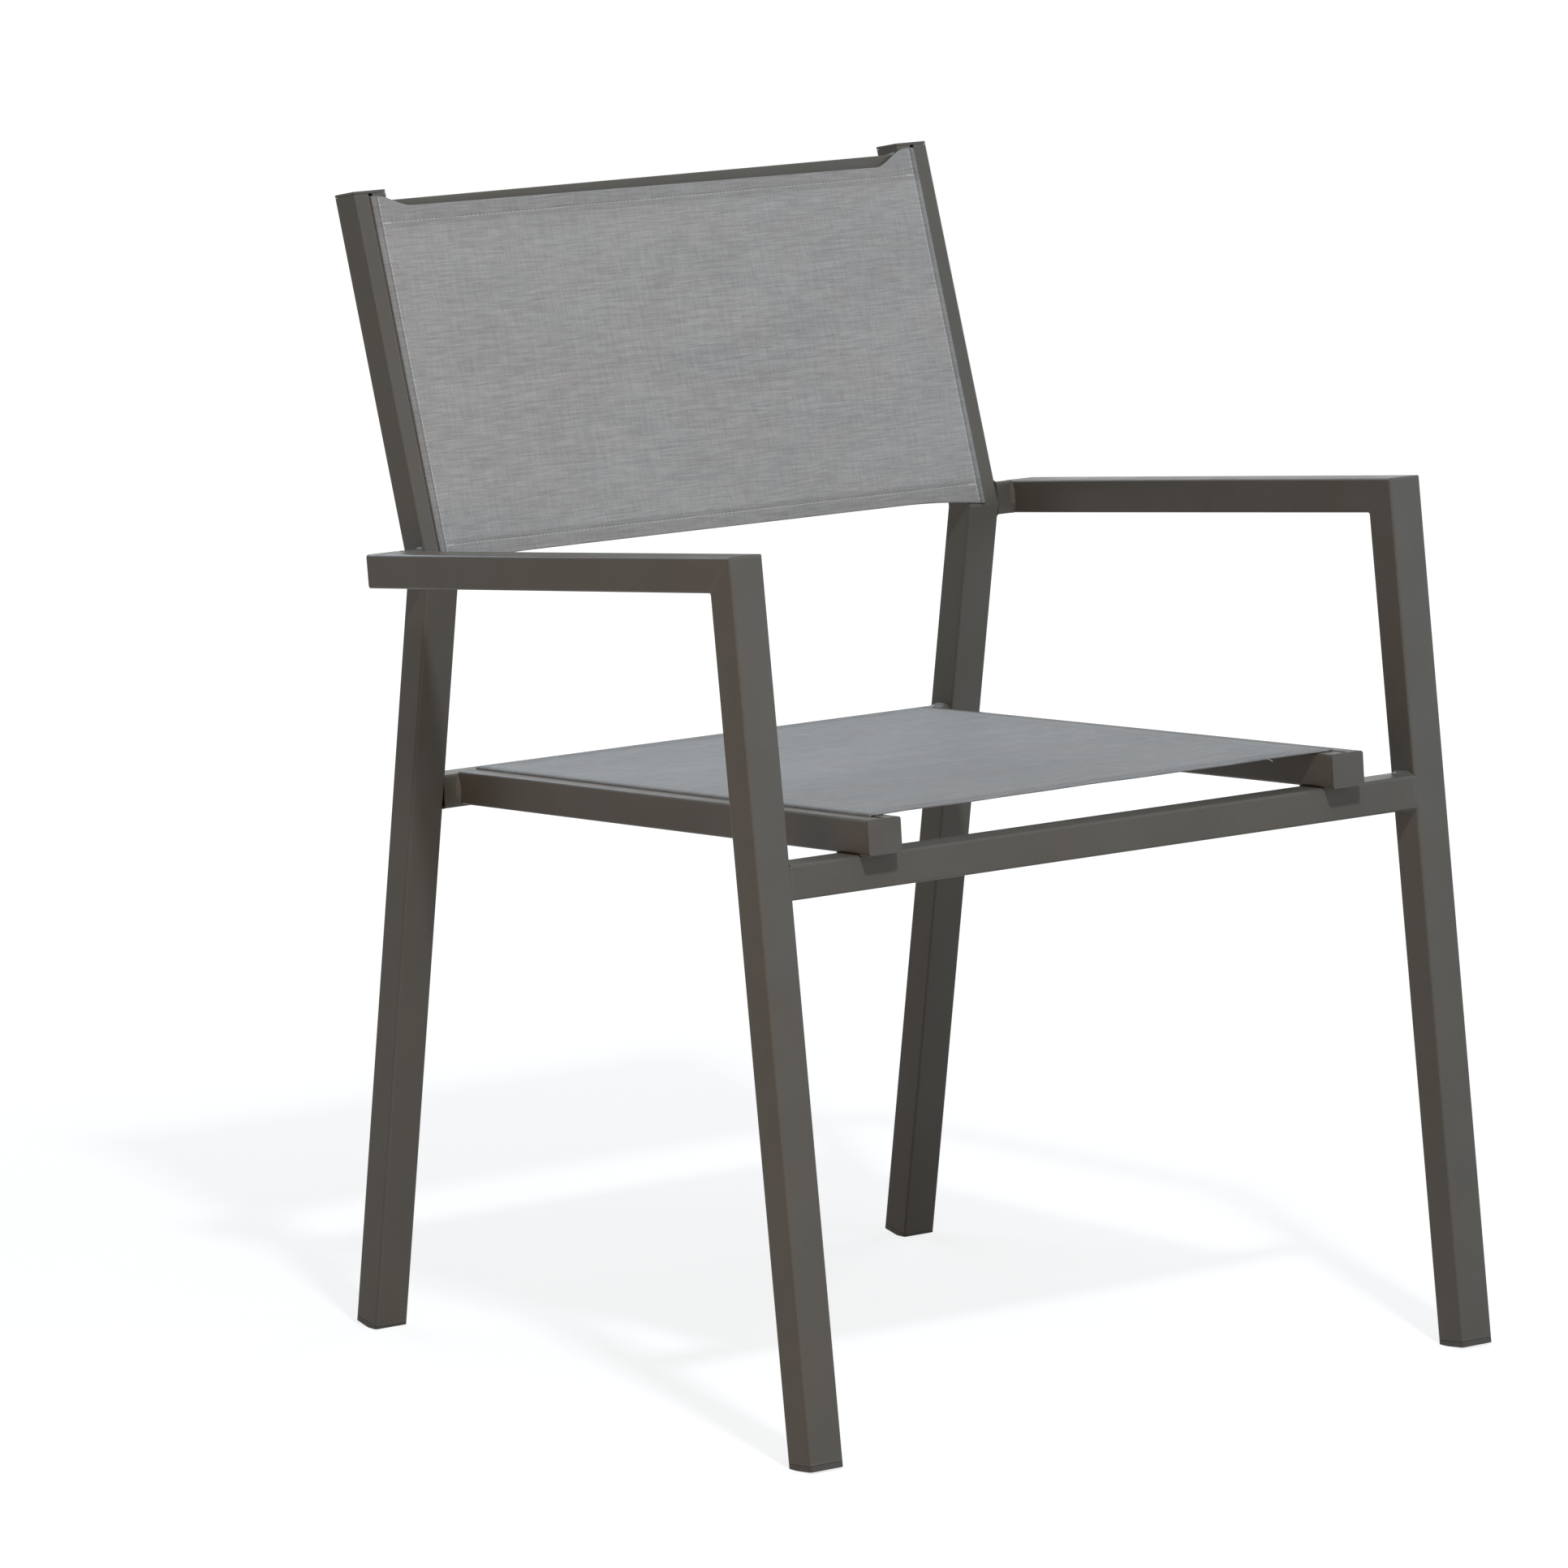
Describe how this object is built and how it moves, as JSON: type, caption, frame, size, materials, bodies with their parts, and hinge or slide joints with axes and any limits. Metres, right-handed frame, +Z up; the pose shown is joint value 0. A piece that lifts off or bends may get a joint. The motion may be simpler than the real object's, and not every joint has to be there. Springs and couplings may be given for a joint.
{
  "type": "sling patio armchair",
  "caption": "Patio armchair with a welded square-tube frame, level armrests, and woven fabric slings stretched between grooved rails as seat and back.",
  "frame": {"origin": "on the floor, in the middle of the chair's outline seen from above", "axes": "+Z up, the sitter faces -Y, and the sitter's left is +X"},
  "size_m": [0.5914, 0.6555, 0.8424],
  "materials": {
    "frame": "matt powder coat, warm dark grey",
    "plug": "moulded plastic, dark grey",
    "sling": "coated mesh weave, mid grey, with fine streaks across the chair",
    "keder": "extruded plastic rod, pale grey"
  },
  "bodies": {
    "root": {"front_leg_left": "frame", "front_leg_right": "frame", "armrest_left": "frame", "armrest_right": "frame", "armrest_spacer_left": "frame", "armrest_spacer_right": "frame", "rear_leg_left": "frame", "rear_leg_right": "frame", "back_post_left": "frame", "back_post_right": "frame", "back_top_crossbar": "frame", "front_crossbar": "frame", "rear_crossbar": "frame", "seat_rail_left": "frame", "seat_rail_right": "frame", "armrest_plug_left": "plug", "armrest_plug_right": "plug", "post_cap_left": "plug", "post_cap_right": "plug", "seat_rail_plug_left": "plug", "seat_rail_plug_right": "plug", "foot_glide_front_left": "plug", "foot_glide_front_right": "plug", "foot_glide_rear_left": "plug", "foot_glide_rear_right": "plug", "back_sling": "sling", "seat_sling": "sling", "back_keder_left": "keder", "back_keder_right": "keder", "seat_keder_left": "keder", "seat_keder_right": "keder"}
  },
  "joints": []
}
